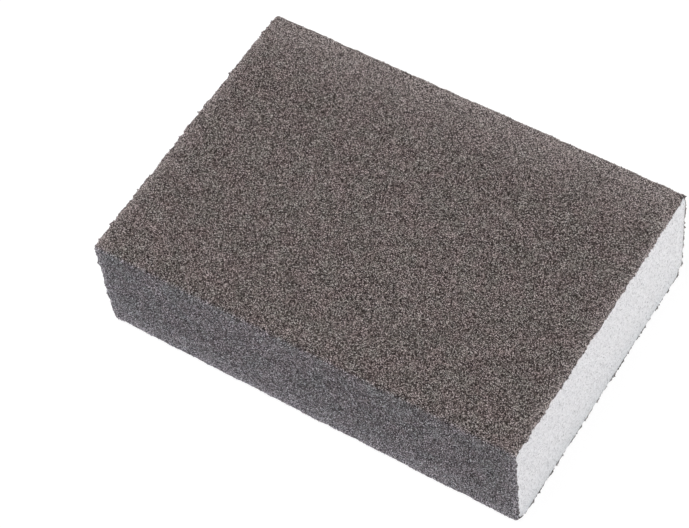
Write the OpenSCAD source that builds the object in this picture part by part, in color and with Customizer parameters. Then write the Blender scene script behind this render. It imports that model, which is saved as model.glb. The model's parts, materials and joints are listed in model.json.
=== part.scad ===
// Four-sided sanding sponge.
// A block of fine-celled foam carries a thin layer of resin-bonded abrasive on
// its two broad faces and its two long sides, wrapped round the long edges.
// Both ends are sawn through layer and foam together, so the foam shows bare.
// Millimetres: X along the length, Y across the width, Z up.
// Origin: middle of the abrasive face that the block lies on.

/* [Block] */
// Length from one sawn end to the other
block_length = 100; // [70:1:140]
// Width over the abrasive of both long sides
block_width = 70; // [45:1:100]
// Height over the abrasive of both broad faces
block_height = 28; // [18:1:45]
// Outer radius of the four long edges
edge_radius = 1.2; // [0.8:0.1:4]

/* [Abrasive] */
// Thickness of the bonded layer, resin and grain together
coat_thickness = 0.3; // [0.2:0.05:0.7]

/* [Hidden] */
// The cut that hollows the sleeve runs this far past each end
cut_overrun = 1;
$fn = 64;

// Cross-section of a block with rounded long edges, centred on the origin
module section(width, height, radius) {
    square([width - 2 * radius, height], center = true);
    square([width, height - 2 * radius], center = true);
    for (side = [-1, 1], level = [-1, 1])
        translate([side * (width / 2 - radius), level * (height / 2 - radius)])
            circle(radius);
}

// Lays a cross-section's width along Y and its height along Z, and runs it along X
module bar(length) {
    translate([-length / 2, 0, block_height / 2])
        rotate([90, 0, 90])
            linear_extrude(length)
                children();
}

// The block as it stands once the layer is on
module outer_section() {
    section(block_width, block_height, edge_radius);
}

// The foam alone: the outer block less the layer on every coated side
module foam_section() {
    section(
        block_width - 2 * coat_thickness,
        block_height - 2 * coat_thickness,
        edge_radius - coat_thickness
    );
}

// Fine-celled foam block, bare at both ends
module foam_core() {
    color("gainsboro")
        bar(block_length)
            foam_section();
}

// Abrasive layer: a four-sided sleeve of even thickness, flush with the foam's ends
module abrasive_coat() {
    color("dimgray")
        difference() {
            bar(block_length) outer_section();
            bar(block_length + 2 * cut_overrun) foam_section();
        }
}

foam_core();
abrasive_coat();
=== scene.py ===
import json
import math

import bpy
import numpy as np
from mathutils import Matrix, Vector

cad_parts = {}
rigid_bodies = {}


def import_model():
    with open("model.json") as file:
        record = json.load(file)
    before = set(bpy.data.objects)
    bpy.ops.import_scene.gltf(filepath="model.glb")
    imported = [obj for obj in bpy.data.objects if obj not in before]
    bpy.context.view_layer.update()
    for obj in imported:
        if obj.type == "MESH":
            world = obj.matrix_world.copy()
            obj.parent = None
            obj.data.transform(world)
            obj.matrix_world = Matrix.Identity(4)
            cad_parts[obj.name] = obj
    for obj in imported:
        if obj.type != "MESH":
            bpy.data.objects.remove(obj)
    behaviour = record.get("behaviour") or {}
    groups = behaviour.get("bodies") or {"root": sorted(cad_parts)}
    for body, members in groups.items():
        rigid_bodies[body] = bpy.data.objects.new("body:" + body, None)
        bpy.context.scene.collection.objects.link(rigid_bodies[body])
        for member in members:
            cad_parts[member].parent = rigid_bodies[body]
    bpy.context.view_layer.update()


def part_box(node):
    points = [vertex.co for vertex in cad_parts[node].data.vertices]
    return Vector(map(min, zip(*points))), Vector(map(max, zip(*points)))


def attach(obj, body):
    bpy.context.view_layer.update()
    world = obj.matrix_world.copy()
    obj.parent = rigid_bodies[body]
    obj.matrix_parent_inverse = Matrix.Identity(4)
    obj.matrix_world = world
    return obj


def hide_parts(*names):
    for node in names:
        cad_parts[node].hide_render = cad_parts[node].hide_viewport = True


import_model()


# The viewpoint. The block lies on its broad face and is looked down on from the front,
# past the corner between the long coated side and the bare end, with a long lens.
view_azimuth = math.radians(39.27)
view_elevation = math.radians(56.32)
view_roll = math.radians(-8.59)
view_distance = 0.50402
aim_point = Vector((-0.00817, -0.00623, 0.0140))

bpy.ops.object.camera_add()
camera = bpy.context.object
camera.name = "camera"
camera.data.lens = 125.43
camera.data.sensor_width = 36
camera.data.clip_start = 0.01
turn = (
    Matrix.Rotation(view_azimuth, 4, "Z")
    @ Matrix.Rotation(math.pi / 2 - view_elevation, 4, "X")
    @ Matrix.Rotation(view_roll, 4, "Z")
)
stand_back = turn @ Vector((0, 0, view_distance))
camera.matrix_world = Matrix.Translation(aim_point + stand_back) @ turn
bpy.context.scene.camera = camera


# Foam core. A block of pale grey foam with fine closed cells, sawn from a larger bun.
# The saw leaves its cells cut open on both bare ends, and the abrasive hides the rest.
foam_low, foam_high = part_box("foam_core")
foam_middle = (foam_low + foam_high) / 2
foam_size = foam_high - foam_low
foam_corner = 0.0005
cell_fade = 0.0004
end_columns = 338
end_rows = 134
cell_size = 0.00052
cell_depth = 0.00020
saw_ripple = 0.0030
saw_ripple_depth = 0.00012


def add_plain_texture(name, kind, size):
    """A texture with no pictures in it, whose features are about this size."""
    texture = bpy.data.textures.new(name, kind)
    texture.noise_scale = size
    return texture


def displace(piece, texture, depth, mid_level, group, direction="NORMAL"):
    """Moves a piece's surface in and out by a texture and keeps the result in its mesh."""
    change = piece.modifiers.new(texture.name, "DISPLACE")
    change.texture = texture
    change.texture_coords = "LOCAL"
    change.strength = depth
    change.mid_level = mid_level
    change.vertex_group = group
    change.direction = direction
    bpy.ops.object.modifier_apply(modifier=change.name)


def inside_outline(y, z, width, height, corner):
    """How far a point of the block's cross-section lies inside its rounded outline."""
    over_y = max(abs(y) - (width / 2 - corner), 0)
    over_z = max(abs(z) - (height / 2 - corner), 0)
    if over_y and over_z:
        return corner - math.hypot(over_y, over_z)
    return min(width / 2 - abs(y), height / 2 - abs(z))


bpy.ops.mesh.primitive_grid_add(
    x_subdivisions=end_columns,
    y_subdivisions=end_rows,
    size=1,
    location=(foam_high.x, foam_middle.y, foam_middle.z),
    rotation=(math.pi / 2, 0, math.pi / 2),
)
foam = bpy.context.object
foam.name = "foam_block"
foam.scale = (foam_size.y, foam_size.z, 1)
bpy.ops.object.transform_apply(location=True, rotation=True, scale=True)
for vertex in foam.data.vertices:
    from_middle = vertex.co - foam_middle
    over_y = abs(from_middle.y) - (foam_size.y / 2 - foam_corner)
    over_z = abs(from_middle.z) - (foam_size.z / 2 - foam_corner)
    if over_y > 0 and over_z > 0:
        draw_in = 1 - max(over_y, over_z) / math.hypot(over_y, over_z)
        vertex.co.y -= math.copysign(over_y * draw_in, from_middle.y)
        vertex.co.z -= math.copysign(over_z * draw_in, from_middle.z)
bpy.ops.object.mode_set(mode="EDIT")
bpy.ops.mesh.select_all(action="SELECT")
bpy.ops.mesh.extrude_region_move(
    TRANSFORM_OT_translate={"value": (-foam_size.x, 0, 0)}
)
bpy.ops.mesh.select_all(action="SELECT")
bpy.ops.mesh.normals_make_consistent(inside=False)
bpy.ops.object.mode_set(mode="OBJECT")

# Handling has worn back the ends of the long edges, the lower front one's the most and the upper
# front one's the least. Each edge is named by its side in y, then its side in z.
corner_span = 0.0026
corner_run = 0.0036
corner_wear = {(1, 1): 0.0009, (1, -1): 0.0009, (-1, -1): 0.0012, (-1, 1): 0.0003}


def round_off_ends(piece, height, width):
    """Draws a piece back along the block where its long edges meet the sawn ends."""
    for vertex in piece.data.vertices:
        x, y, z = vertex.co - foam_middle
        reached = abs(x) - (foam_size.x / 2 - corner_run)
        beyond = 1 - math.hypot(width / 2 - abs(y), height / 2 - abs(z)) / corner_span
        if reached > 0 and beyond > 0:
            wear = corner_wear[math.copysign(1, y), math.copysign(1, z)]
            vertex.co.x -= math.copysign(wear * (reached / corner_run) ** 2 * beyond**2, x)


round_off_ends(foam, foam_size.z, foam_size.y)

# The rim of each end stays flush with the abrasive, so the cells fade in from it.
open_cells = foam.vertex_groups.new(name="open_cells")
for vertex in foam.data.vertices:
    y, z = vertex.co.y - foam_middle.y, vertex.co.z - foam_middle.z
    depth_in = inside_outline(y, z, foam_size.y, foam_size.z, foam_corner)
    open_cells.add([vertex.index], min(max(depth_in / cell_fade, 0), 1), "REPLACE")

cell_texture = add_plain_texture("cells", "VORONOI", cell_size)
displace(foam, cell_texture, cell_depth, 1.0, "open_cells")
ripple_texture = add_plain_texture("saw_ripple", "CLOUDS", saw_ripple)
displace(foam, ripple_texture, saw_ripple_depth, 0.5, "open_cells")


def lay_bake_map(piece, place):
    """Gives a piece the map that its finish is baked on.

    place turns points and the normals of their faces into (u, v).
    """
    mesh = piece.data
    points = np.empty(len(mesh.vertices) * 3)
    mesh.vertices.foreach_get("co", points)
    vertex_of = np.empty(len(mesh.loops), int)
    mesh.loops.foreach_get("vertex_index", vertex_of)
    normals = np.empty(len(mesh.polygons) * 3)
    mesh.polygons.foreach_get("normal", normals)
    corners = np.empty(len(mesh.polygons), int)
    mesh.polygons.foreach_get("loop_total", corners)
    uv = place(points.reshape(-1, 3)[vertex_of], normals.reshape(-1, 3).repeat(corners, axis=0))
    mesh.uv_layers.new(name="OFBake").uv.foreach_set("vector", uv.ravel())


# The foam's map, as shares of its height: the right end from the bottom, the left end over it,
# and the hidden sides in what is left at the top.
end_share = 0.47
left_end_from = 0.48
sides_from = 0.96
sides_share = 0.02


def place_on_foam_map(points, normals):
    """Both ends laid flat, one over the other, with the hidden sides above them."""
    along, across, up = ((points - np.array(foam_low)) / np.array(foam_size)).T
    right, left = normals[:, 0] > 0.5, normals[:, 0] < -0.5
    u = np.where(right | left, across, along)
    v = np.select(
        [right, left],
        [end_share * up, left_end_from + end_share * up],
        sides_from + sides_share * (across + up),
    )
    return np.stack([u, v], axis=1)


lay_bake_map(foam, place_on_foam_map)


def add_node(tree, kind, **settings):
    """One node with its settings. A setting named after an input sets that input."""
    node = tree.nodes.new(kind)
    for name, value in settings.items():
        label = name.replace("_", " ").title()
        if label in node.inputs:
            node.inputs[label].default_value = value
        else:
            setattr(node, name, value)
    return node


def new_finish(name, roughness, shine=0.5):
    """An empty finish, with its node tree and its main shader."""
    finish = bpy.data.materials.new(name)
    finish.use_nodes = True
    shader = finish.node_tree.nodes["Principled BSDF"]
    shader.inputs["Roughness"].default_value = roughness
    shader.inputs["Specular IOR Level"].default_value = shine
    return finish, finish.node_tree, shader


def add_math(tree, operation, first, second):
    """One calculation on two values."""
    node = add_node(tree, "ShaderNodeMath", operation=operation)
    tree.links.new(first, node.inputs[0])
    tree.links.new(second, node.inputs[1])
    return node.outputs["Value"]


def add_ramp(tree, factor, stops):
    """A colour ramp from (place, colour) stops, fed by a value."""
    ramp = tree.nodes.new("ShaderNodeValToRGB")
    elements = ramp.color_ramp.elements
    while len(elements) < len(stops):
        elements.new(0.5)
    for element, (place, colour) in zip(elements, stops):
        element.position = place
        element.color = (*colour, 1)
    tree.links.new(factor, ramp.inputs["Fac"])
    return ramp.outputs["Color"]


# The mix node has sockets for numbers and directions too. These are its places for colours.
first_colour, second_colour, mixed_colour = 6, 7, 2


def mix_colours(tree, first, second, factor=None, blend_type="MIX"):
    """Two colours mixed by a factor, or in full where there is none."""
    mix = tree.nodes.new("ShaderNodeMix")
    mix.data_type = "RGBA"
    mix.blend_type = blend_type
    if factor is None:
        mix.inputs["Factor"].default_value = 1
    else:
        tree.links.new(factor, mix.inputs["Factor"])
    tree.links.new(first, mix.inputs[first_colour])
    tree.links.new(second, mix.inputs[second_colour])
    return mix.outputs[mixed_colour]


cell_pitch = 0.00026
cell_bump_depth = 0.00008
cloud_scale = 700.0
foam_finish, tree, shader = new_finish("fine_celled_foam", roughness=0.9, shine=0.25)
where = add_node(tree, "ShaderNodeTexCoord")
cells = add_node(tree, "ShaderNodeTexVoronoi", scale=1 / cell_pitch)
tree.links.new(where.outputs["Object"], cells.inputs["Vector"])
each = add_node(tree, "ShaderNodeSeparateColor")
tree.links.new(cells.outputs["Color"], each.inputs["Color"])
cell_colour = add_ramp(
    tree,
    each.outputs["Red"],
    [
        (0.0, (0.50, 0.50, 0.51)),
        (0.14, (0.73, 0.73, 0.74)),
        (0.45, (0.84, 0.84, 0.85)),
        (1.0, (0.93, 0.93, 0.94)),
    ],
)
cloud = add_node(tree, "ShaderNodeTexNoise", scale=cloud_scale, detail=2.0)
tree.links.new(where.outputs["Object"], cloud.inputs["Vector"])
cloud_colour = add_ramp(
    tree,
    cloud.outputs["Fac"],
    [(0.3, (0.95, 0.95, 0.95)), (0.7, (1.0, 1.0, 1.0))],
)
foam_colour = mix_colours(tree, cell_colour, cloud_colour, blend_type="MULTIPLY")
tree.links.new(foam_colour, shader.inputs["Base Color"])
cell_bump = add_node(tree, "ShaderNodeBump", strength=0.6, distance=cell_bump_depth)
tree.links.new(cells.outputs["Distance"], cell_bump.inputs["Height"])
tree.links.new(cell_bump.outputs["Normal"], shader.inputs["Normal"])
foam.data.materials.append(foam_finish)

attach(foam, "root")
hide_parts("foam_core")


# Abrasive layer. Resin with fine grit set in it, spread on the foam's four long faces in one
# sleeve and cured, so it wraps the rounded long edges. The saw cuts it flush with the foam.
coat_low, coat_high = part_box("abrasive_coat")
coat_middle = (coat_low + coat_high) / 2
coat_size = coat_high - coat_low
edge_radius = 0.0008
edge_steps = 4
grain_stand = 0.00008
resin_thickness = foam_low.z - coat_low.z - grain_stand
skin_wave = 0.0032
skin_wave_depth = 0.00044
skin_grain = 0.0007
skin_grain_depth = 0.00018
rim_wander = 0.0009
rim_wander_depth = 0.0010
nearly_one = 0.999
# Each stretch is cut in two steps: into so many, then each of those into so many again.
length_cuts = (14, 13)
width_cuts = (11, 11)
height_cuts = (23, 2)


def edit_with_selected(kind, chosen):
    """Opens the active piece in edit mode with only its chosen vertices, edges or faces selected."""
    bpy.ops.object.mode_set(mode="EDIT")
    bpy.ops.mesh.select_mode(type=kind)
    bpy.ops.mesh.select_all(action="DESELECT")
    bpy.ops.object.mode_set(mode="OBJECT")
    mesh = bpy.context.object.data
    for part in {"VERT": mesh.vertices, "EDGE": mesh.edges, "FACE": mesh.polygons}[kind]:
        part.select = bool(chosen(part))
    bpy.ops.object.mode_set(mode="EDIT")


def runs_along(axis):
    """A test of whether an edge of the sleeve runs along an axis, by its number."""

    def test(edge):
        first, second = (layer.data.vertices[i].co for i in edge.vertices)
        return abs((second - first).normalized()[axis]) > nearly_one

    return test


bpy.ops.mesh.primitive_cube_add(size=1, location=coat_middle)
layer = bpy.context.object
layer.name = "abrasive_layer"
layer.scale = coat_size - 2 * Vector((0, grain_stand, grain_stand))
bpy.ops.object.transform_apply(location=True, rotation=True, scale=True)
edit_with_selected("EDGE", runs_along(0))
bpy.ops.mesh.bevel(offset=edge_radius - grain_stand, segments=edge_steps)
edit_with_selected("FACE", lambda face: abs(face.normal.x) > nearly_one)
bpy.ops.mesh.delete(type="ONLY_FACE")
for axis, cuts in ((0, length_cuts), (1, width_cuts), (2, height_cuts)):
    for pieces in cuts:
        edit_with_selected("EDGE", runs_along(axis))
        bpy.ops.mesh.subdivide(number_cuts=pieces - 1)

# The sleeve is closed with a rim at each end and a smooth inner skin against the foam.
bpy.ops.mesh.select_all(action="DESELECT")
bpy.ops.mesh.select_non_manifold()
bpy.ops.mesh.extrude_edges_move(TRANSFORM_OT_translate={"value": (0, 0, 0)})
bpy.ops.transform.resize(
    value=(1, foam_size.y / layer.dimensions.y, foam_size.z / layer.dimensions.z),
    center_override=coat_middle,
)
bpy.ops.mesh.bridge_edge_loops()
bpy.ops.mesh.select_all(action="SELECT")
bpy.ops.mesh.normals_make_consistent(inside=False)
bpy.ops.object.mode_set(mode="OBJECT")

sawn_rims = layer.vertex_groups.new(name="sawn_rims")
for vertex in layer.data.vertices:
    at_rim = abs(vertex.co.x - coat_middle.x) > coat_size.x / 2 - grain_stand
    sawn_rims.add([vertex.index], float(at_rim), "REPLACE")
round_off_ends(layer, coat_size.z, coat_size.y)

outer_skin = layer.vertex_groups.new(name="outer_skin")
for vertex in layer.data.vertices:
    y, z = vertex.co.y - coat_middle.y, vertex.co.z - coat_middle.z
    under = inside_outline(y, z, coat_size.y, coat_size.z, edge_radius)
    outer_skin.add([vertex.index], float(under < grain_stand + resin_thickness / 2), "REPLACE")
wave_texture = add_plain_texture("skin_wave", "CLOUDS", skin_wave)
displace(layer, wave_texture, skin_wave_depth, 0.5, "outer_skin")
grain_texture = add_plain_texture("skin_grain", "CLOUDS", skin_grain)
displace(layer, grain_texture, skin_grain_depth, 0.5, "outer_skin")

# The saw leaves both rims of the sleeve ragged, a little in and out along the block.
rim_texture = add_plain_texture("rim_wander", "CLOUDS", rim_wander)
displace(layer, rim_texture, rim_wander_depth, 0.5, "sawn_rims", "X")


# The sleeve's map has a strip for each broad face, and over them a narrower one for each long side.
broad_from = 0.01
broad_share = 0.34
broad_pitch = 0.35
side_from = 0.71
side_share = 0.135
side_pitch = 0.14


def place_on_sleeve_map(points, normals):
    """The sleeve unrolled: along it to the right, and round it upwards."""
    along = (points[:, 0] - coat_low.x) / coat_size.x
    across = (points[:, 1] - coat_low.y) / coat_size.y
    up = (points[:, 2] - coat_low.z) / coat_size.z
    broad = np.abs(normals[:, 2]) > np.abs(normals[:, 1])
    far = np.where(broad, normals[:, 2] < 0, normals[:, 1] > 0)
    near_strip = np.where(broad, broad_from + broad_share * across, side_from + side_share * up)
    return np.stack([along, near_strip + far * np.where(broad, broad_pitch, side_pitch)], axis=1)


lay_bake_map(layer, place_on_sleeve_map)


def add_group(name, inputs, outputs):
    """An empty shader node group with (name, kind, value) inputs and (name, kind) outputs."""
    group = bpy.data.node_groups.new(name, "ShaderNodeTree")
    for label, kind, value in inputs:
        group.interface.new_socket(label, in_out="INPUT", socket_type=kind).default_value = value
    for label, kind in outputs:
        group.interface.new_socket(label, in_out="OUTPUT", socket_type=kind)
    return group, group.nodes.new("NodeGroupInput"), group.nodes.new("NodeGroupOutput")


# Patches in the resin, a few millimetres across, that lean to brown or to olive.
patches, patches_in, patches_out = add_group(
    "resin_patches",
    [
        ("Patch Scale", "NodeSocketFloat", 220.0),
        ("Brown", "NodeSocketColor", (1.03, 0.98, 0.985, 1)),
        ("Olive", "NodeSocketColor", (0.97, 1.01, 0.98, 1)),
    ],
    [("Color", "NodeSocketColor")],
)
where = add_node(patches, "ShaderNodeTexCoord")
patch_noise = add_node(patches, "ShaderNodeTexNoise", detail=2.0, roughness=0.6)
patches.links.new(where.outputs["Object"], patch_noise.inputs["Vector"])
patches.links.new(patches_in.outputs["Patch Scale"], patch_noise.inputs["Scale"])
lean = add_node(patches, "ShaderNodeMapRange", from_min=0.38, from_max=0.62)
patches.links.new(patch_noise.outputs["Fac"], lean.inputs["Value"])
patch_colour = mix_colours(
    patches, patches_in.outputs["Brown"], patches_in.outputs["Olive"], lean.outputs["Result"]
)
patches.links.new(patch_colour, patches_out.inputs["Color"])


# Painted light: the coat is painted paler near its upper back edge and its lower front edge, and a
# little at both ends, a painted glow that stands in for light bounced off the bench and glare round
# the edges.
painted_glow, painted_glow_in, painted_glow_out = add_group(
    "painted_glow_margins",
    [
        ("Color", "NodeSocketColor", (0, 0, 0, 1)),
        ("Painted Glow Color", "NodeSocketColor", (0.5, 0.5, 0.5, 1)),
        ("Width", "NodeSocketFloat", 0.012),
    ],
    [("Color", "NodeSocketColor")],
)
# Each margin has a point on its edge and, for x, y and z, a weight on the distance from it. A
# larger weight makes the margin narrower, and 0 lets it run the whole way along that axis.
margins = {
    "upper_back_edge": ((0, coat_high.y, coat_high.z), (0, 0.7, 0.7)),
    "lower_front_edge": ((0, coat_low.y, coat_low.z), (0, 1, 1)),
    "left_end": ((coat_low.x, 0, 0), (3, 0, 0)),
    "right_end": ((coat_high.x, 0, 0), (4, 0, 0)),
}
where = add_node(painted_glow, "ShaderNodeTexCoord")
distances = []
for edge_point, weights in margins.values():
    offset = add_node(painted_glow, "ShaderNodeMapping", vector_type="POINT", scale=weights)
    offset.inputs["Location"].default_value = [-a * b for a, b in zip(edge_point, weights)]
    painted_glow.links.new(where.outputs["Object"], offset.inputs["Vector"])
    length = add_node(painted_glow, "ShaderNodeVectorMath", operation="LENGTH")
    painted_glow.links.new(offset.outputs["Vector"], length.inputs[0])
    distances.append(length.outputs["Value"])
nearest = distances[0]
for other in distances[1:]:
    nearest = add_math(painted_glow, "MINIMUM", nearest, other)
painted_glow_share = add_ramp(
    painted_glow,
    add_math(painted_glow, "DIVIDE", nearest, painted_glow_in.outputs["Width"]),
    [
        (0.1, (0.66, 0.66, 0.66)),
        (0.25, (0.42, 0.42, 0.42)),
        (0.45, (0.24, 0.24, 0.24)),
        (0.75, (0.08, 0.08, 0.08)),
        (1.0, (0.0, 0.0, 0.0)),
    ],
)
lit_margin_colour = mix_colours(
    painted_glow, painted_glow_in.outputs["Color"], painted_glow_in.outputs["Painted Glow Color"], painted_glow_share
)
painted_glow.links.new(lit_margin_colour, painted_glow_out.inputs["Color"])


def tint_and_paint_glow(tree, colour, painted_glow_colour):
    """A colour of the coat with the resin's patches over it, turning to a paler one at the margins
    as painted light.
    """
    patch = tree.nodes.new("ShaderNodeGroup")
    patch.node_tree = patches
    glow_group = tree.nodes.new("ShaderNodeGroup")
    glow_group.node_tree = painted_glow
    patchy_colour = mix_colours(tree, colour, patch.outputs["Color"], blend_type="MULTIPLY")
    tree.links.new(patchy_colour, glow_group.inputs["Color"])
    tree.links.new(painted_glow_colour, glow_group.inputs["Painted Glow Color"])
    return glow_group.outputs["Color"]


# The fine grit is taller than it is wide, which shows on the long sides.
grit_pitch = 0.00016
grit_squeeze = (1, 1, 0.7)
grit_bump_depth = 0.00012
resin_finish, tree, shader = new_finish("resin_and_fine_grit", roughness=0.7, shine=0.2)
where = add_node(tree, "ShaderNodeTexCoord")
squeezed = add_node(tree, "ShaderNodeMapping", scale=grit_squeeze)
tree.links.new(where.outputs["Object"], squeezed.inputs["Vector"])
grit = add_node(tree, "ShaderNodeTexVoronoi", scale=1 / grit_pitch)
tree.links.new(squeezed.outputs["Vector"], grit.inputs["Vector"])
each = add_node(tree, "ShaderNodeSeparateColor")
tree.links.new(grit.outputs["Color"], each.inputs["Color"])
grit_colour = add_ramp(
    tree,
    each.outputs["Red"],
    [
        (0.0, (0.010, 0.006, 0.004)),
        (0.30, (0.046, 0.032, 0.028)),
        (0.57, (0.260, 0.225, 0.215)),
        (0.84, (0.650, 0.608, 0.594)),
        (1.0, (0.980, 0.945, 0.925)),
    ],
)
# The same grit painted paler, for the painted glow near the margins.
painted_glow_grit_colour = add_ramp(
    tree,
    each.outputs["Red"],
    [
        (0.0, (0.050, 0.044, 0.043)),
        (0.30, (0.270, 0.243, 0.237)),
        (0.57, (0.680, 0.626, 0.612)),
        (0.84, (0.950, 0.890, 0.872)),
        (1.0, (0.980, 0.935, 0.920)),
    ],
)
# Darker towards the edge of each grit cell: dark resin between the grains, and partly painted shade
# in the gaps between them.
resin_gap_and_shade = add_ramp(
    tree,
    grit.outputs["Distance"],
    [(0.27, (1.0, 1.0, 1.0)), (0.69, (0.06, 0.055, 0.054))],
)
grit_in_resin = mix_colours(tree, grit_colour, resin_gap_and_shade, blend_type="MULTIPLY")
painted_glow_grit = mix_colours(tree, painted_glow_grit_colour, resin_gap_and_shade, blend_type="MULTIPLY")
tree.links.new(tint_and_paint_glow(tree, grit_in_resin, painted_glow_grit), shader.inputs["Base Color"])
grit_height = add_math(tree, "SUBTRACT", each.outputs["Green"], grit.outputs["Distance"])
grit_bump = add_node(tree, "ShaderNodeBump", strength=0.9, distance=grit_bump_depth)
tree.links.new(grit_height, grit_bump.inputs["Height"])
tree.links.new(grit_bump.outputs["Normal"], shader.inputs["Normal"])
layer.data.materials.append(resin_finish)

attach(layer, "root")
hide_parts("abrasive_coat")


# Coarse grains. Crushed crystals of hard oxide, dropped on the wet resin and held by it up to
# about half their height. They stand proud on the four coated faces and along both sawn rims.
grain_reach = 0.00013
grain_gap = 0.00024
grains_per_square_metre = 4.6e6
side_grain_reach = 0.00017
rim_grain_reach = 0.00028
rim_grains_per_square_metre = 6.0e6
lowest_grain, highest_grain = -0.00004, 0.00007
# A grain starts as a stub on a foot of radius 1. It is then shrunk to its reach, times a random
# share along each of its own axes.
grain_length = 1.5
top_shift = (0.18, 0.1, 0)
smallest_grain = (0.55, 0.5, 0.45)
largest_grain = (1.15, 0.95, 0.9)
# Grains are scattered on mesh faces that lie no deeper under the outline than this, and that
# turn less than 45 degrees away from outward.
bed_depth = grain_stand + 0.7 * resin_thickness
least_facing = math.cos(math.pi / 4)

grain_finish, tree, shader = new_finish("crushed_oxide_grain", roughness=0.45, shine=0.3)
tint = add_node(tree, "ShaderNodeAttribute", attribute_name="tint")
grain_colour = add_ramp(
    tree,
    tint.outputs["Fac"],
    [
        (0.0, (0.012, 0.007, 0.005)),
        (0.33, (0.046, 0.034, 0.031)),
        (0.62, (0.180, 0.156, 0.149)),
        (0.88, (0.410, 0.378, 0.367)),
        (1.0, (0.770, 0.735, 0.718)),
    ],
)
# The same grains painted paler, for the painted glow near the margins.
painted_glow_grain_colour = add_ramp(
    tree,
    tint.outputs["Fac"],
    [
        (0.0, (0.050, 0.044, 0.043)),
        (0.33, (0.200, 0.180, 0.175)),
        (0.62, (0.430, 0.394, 0.384)),
        (0.88, (0.640, 0.595, 0.580)),
        (1.0, (0.870, 0.820, 0.800)),
    ],
)
tree.links.new(
    tint_and_paint_glow(tree, grain_colour, painted_glow_grain_colour), shader.inputs["Base Color"]
)


def add_grain_shape(name, sides, top_share, twist):
    """One crushed crystal: a stub with a smaller end, which is turned and set off centre."""
    bpy.ops.mesh.primitive_cone_add(
        vertices=sides, radius1=1, radius2=top_share, depth=grain_length
    )
    grain = bpy.context.object
    grain.name = name
    edit_with_selected("VERT", lambda vertex: vertex.co.z > 0)
    bpy.ops.transform.rotate(value=twist, orient_axis="Z", center_override=(0, 0, 0))
    bpy.ops.transform.translate(value=top_shift)
    bpy.ops.object.mode_set(mode="OBJECT")
    grain.data.materials.append(grain_finish)
    return grain


shapes = bpy.data.collections.new("grain_shapes")
bpy.context.scene.collection.children.link(shapes)
for shape in (
    add_grain_shape("shard", 3, 0.55, math.radians(35)),
    add_grain_shape("splinter", 4, 0.0, 0),
    add_grain_shape("chip", 3, 0.8, math.radians(55)),
):
    for holder in list(shape.users_collection):
        holder.objects.unlink(shape)
    shapes.objects.link(shape)

scatter = bpy.data.node_groups.new("scatter_grains", "GeometryNodeTree")
scatter.interface.new_socket("Geometry", in_out="INPUT", socket_type="NodeSocketGeometry")
scatter.interface.new_socket("Seed", in_out="INPUT", socket_type="NodeSocketInt")
scatter.interface.new_socket("Density", in_out="INPUT", socket_type="NodeSocketFloat")
scatter.interface.new_socket("Reach", in_out="INPUT", socket_type="NodeSocketFloat")
scatter.interface.new_socket("Geometry", in_out="OUTPUT", socket_type="NodeSocketGeometry")
given = scatter.nodes.new("NodeGroupInput")
result = scatter.nodes.new("NodeGroupOutput")


def add_random(kind, least, most, seed):
    """A value or vector drawn at random for each grain.

    The node has sockets of its own for each kind: the least, the most and the one drawn.
    """
    low_socket, high_socket, drawn_socket = {"FLOAT_VECTOR": (0, 1, 0), "FLOAT": (2, 3, 1)}[kind]
    node = scatter.nodes.new("FunctionNodeRandomValue")
    node.data_type = kind
    node.inputs["Seed"].default_value = seed
    node.inputs[low_socket].default_value = least
    node.inputs[high_socket].default_value = most
    return node.outputs[drawn_socket]


spread = scatter.nodes.new("GeometryNodeDistributePointsOnFaces")
spread.distribute_method = "POISSON"
spread.inputs["Distance Min"].default_value = grain_gap
scatter.links.new(given.outputs["Geometry"], spread.inputs["Mesh"])
scatter.links.new(given.outputs["Seed"], spread.inputs["Seed"])
scatter.links.new(given.outputs["Density"], spread.inputs["Density Max"])
sink = scatter.nodes.new("ShaderNodeVectorMath")
sink.operation = "SCALE"
scatter.links.new(spread.outputs["Normal"], sink.inputs[0])
scatter.links.new(add_random("FLOAT", lowest_grain, highest_grain, 1), sink.inputs["Scale"])
settle = scatter.nodes.new("GeometryNodeSetPosition")
scatter.links.new(spread.outputs["Points"], settle.inputs["Geometry"])
scatter.links.new(sink.outputs["Vector"], settle.inputs["Offset"])
choose = scatter.nodes.new("GeometryNodeCollectionInfo")
choose.inputs["Collection"].default_value = shapes
choose.inputs["Separate Children"].default_value = True
choose.inputs["Reset Children"].default_value = True
size = scatter.nodes.new("ShaderNodeVectorMath")
size.operation = "SCALE"
scatter.links.new(add_random("FLOAT_VECTOR", smallest_grain, largest_grain, 2), size.inputs[0])
scatter.links.new(given.outputs["Reach"], size.inputs["Scale"])
place_grain = scatter.nodes.new("GeometryNodeInstanceOnPoints")
place_grain.inputs["Pick Instance"].default_value = True
scatter.links.new(settle.outputs["Geometry"], place_grain.inputs["Points"])
scatter.links.new(choose.outputs["Instances"], place_grain.inputs["Instance"])
scatter.links.new(
    add_random("FLOAT_VECTOR", (0, 0, 0), (math.tau, math.tau, math.tau), 3),
    place_grain.inputs["Rotation"],
)
scatter.links.new(size.outputs["Vector"], place_grain.inputs["Scale"])
mark = scatter.nodes.new("GeometryNodeStoreNamedAttribute")
mark.data_type = "FLOAT"
mark.domain = "INSTANCE"
mark.inputs["Name"].default_value = "tint"
scatter.links.new(place_grain.outputs["Instances"], mark.inputs["Geometry"])
scatter.links.new(add_random("FLOAT", 0, 1, 4), mark.inputs["Value"])
make_real = scatter.nodes.new("GeometryNodeRealizeInstances")
scatter.links.new(mark.outputs["Geometry"], make_real.inputs["Geometry"])
scatter.links.new(make_real.outputs["Geometry"], result.inputs["Geometry"])


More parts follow.
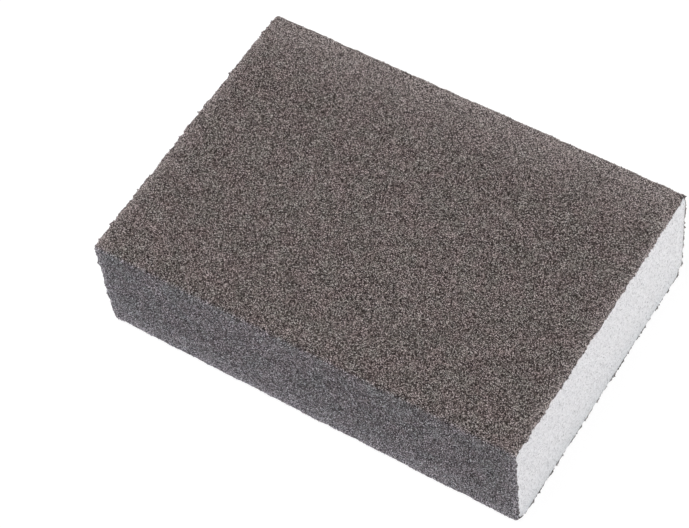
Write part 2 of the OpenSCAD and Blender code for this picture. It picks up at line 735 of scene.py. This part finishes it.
def add_grains(name, outward, seed, density=grains_per_square_metre, reach=grain_reach):
    """The coarse grains of one coated face or one sawn rim, scattered on a copy of it."""
    bpy.ops.object.select_all(action="DESELECT")
    layer.select_set(True)
    bpy.context.view_layer.objects.active = layer
    bpy.ops.object.duplicate()
    grains = bpy.context.object
    grains.name = name
    grains.parent = None

    def elsewhere(face):
        middle = face.center - coat_middle
        under = inside_outline(middle.y, middle.z, coat_size.y, coat_size.z, edge_radius)
        return under > bed_depth or face.normal.dot(outward) < least_facing

    edit_with_selected("FACE", elsewhere)
    bpy.ops.mesh.delete(type="FACE")
    bpy.ops.object.mode_set(mode="OBJECT")
    modifier = grains.modifiers.new("scatter", "NODES")
    modifier.node_group = scatter
    for label, value in (("Seed", seed), ("Density", density), ("Reach", reach)):
        modifier[scatter.interface.items_tree[label].identifier] = value
    bpy.ops.object.modifier_apply(modifier=modifier.name)
    lay_bake_map(grains, place_on_sleeve_map)
    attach(grains, "root")


add_grains("grains_top", Vector((0, 0, 1)), 11)
add_grains("grains_front", Vector((0, -1, 0)), 12, reach=side_grain_reach)
add_grains("grains_bottom", Vector((0, 0, -1)), 13)
add_grains("grains_back", Vector((0, 1, 0)), 14, reach=side_grain_reach)
add_grains("grains_right_rim", Vector((1, 0, 0)), 15, rim_grains_per_square_metre, rim_grain_reach)
add_grains("grains_left_rim", Vector((-1, 0, 0)), 16, rim_grains_per_square_metre, rim_grain_reach)
for shape in list(shapes.objects):
    bpy.data.objects.remove(shape)


# The bench: a broad pale sheet that runs out of view on every side. Where it is seen, an even
# glow takes the place of most of its shading, so it stays pale and keeps a faint shadow.
bench_size = 4.0
bench_grey = (0.9, 0.9, 0.9, 1)
glow_strength = 1.06
glow_share = 0.87


def seen_by(tree, *rays):
    """1 for the rays that are named, and 0 for all others."""
    path = add_node(tree, "ShaderNodeLightPath")
    seen = path.outputs[rays[0]]
    for ray in rays[1:]:
        seen = add_math(tree, "MAXIMUM", seen, path.outputs[ray])
    return seen


def blend_shaders(tree, factor, first, second, output):
    """Gives a tree's output two shaders at once. The factor is the second one's share."""
    blend = add_node(tree, "ShaderNodeMixShader")
    tree.links.new(factor, blend.inputs["Fac"])
    tree.links.new(first, blend.inputs[1])
    tree.links.new(second, blend.inputs[2])
    tree.links.new(blend.outputs["Shader"], tree.nodes[output].inputs["Surface"])


bpy.ops.mesh.primitive_plane_add(size=bench_size)
bench = bpy.context.object
bench.name = "bench"
bench_finish, tree, shader = new_finish("white_sheet", roughness=0.9)
shader.inputs["Base Color"].default_value = bench_grey
glow = add_node(tree, "ShaderNodeEmission", strength=glow_strength)
share = add_node(tree, "ShaderNodeMath", operation="MULTIPLY")
share.inputs[1].default_value = glow_share
tree.links.new(seen_by(tree, "Is Camera Ray", "Is Glossy Ray"), share.inputs[0])
blend_shaders(
    tree,
    share.outputs["Value"],
    shader.outputs["BSDF"],
    glow.outputs["Emission"],
    "Material Output",
)
bench.data.materials.append(bench_finish)


# The light. A pale room all round, with a warm panel above the block, a cool one low in front of
# it and a nearly neutral one low on its right, which pick out the grain.
room_light = 0.38
room_colour = (1, 1, 1, 1)
world = bpy.data.worlds.new("pale_room")
bpy.context.scene.world = world
world.use_nodes = True
tree = world.node_tree
lit = tree.nodes["Background"]
lit.inputs["Color"].default_value = room_colour
lit.inputs["Strength"].default_value = room_light
backdrop = add_node(tree, "ShaderNodeBackground", color=(1, 1, 1, 1), strength=1.0)
blend_shaders(
    tree,
    seen_by(tree, "Is Camera Ray", "Is Glossy Ray", "Is Transmission Ray"),
    lit.outputs["Background"],
    backdrop.outputs["Background"],
    "World Output",
)


def add_panel(name, place, width, power, colour):
    """A square light panel that faces the middle of the block."""
    bpy.ops.object.light_add(type="AREA", location=place)
    panel = bpy.context.object
    panel.name = name
    panel.data.size = width
    panel.data.energy = power
    panel.data.color = colour
    to_block = coat_middle - Vector(place)
    panel.rotation_euler = to_block.to_track_quat("-Z", "Y").to_euler()


add_panel("warm_panel", (-0.12, -0.08, 0.61), 0.3, 2.57, (1.0, 0.85, 0.80))
add_panel("cool_panel", (-0.345, -0.713, 0.182), 0.3, 3.36, (0.56, 0.72, 1.0))
add_panel("right_panel", (0.55, 0.4, 0.12), 0.3, 2.06, (0.92, 0.965, 1.0))

bpy.context.scene.view_settings.view_transform = "Standard"
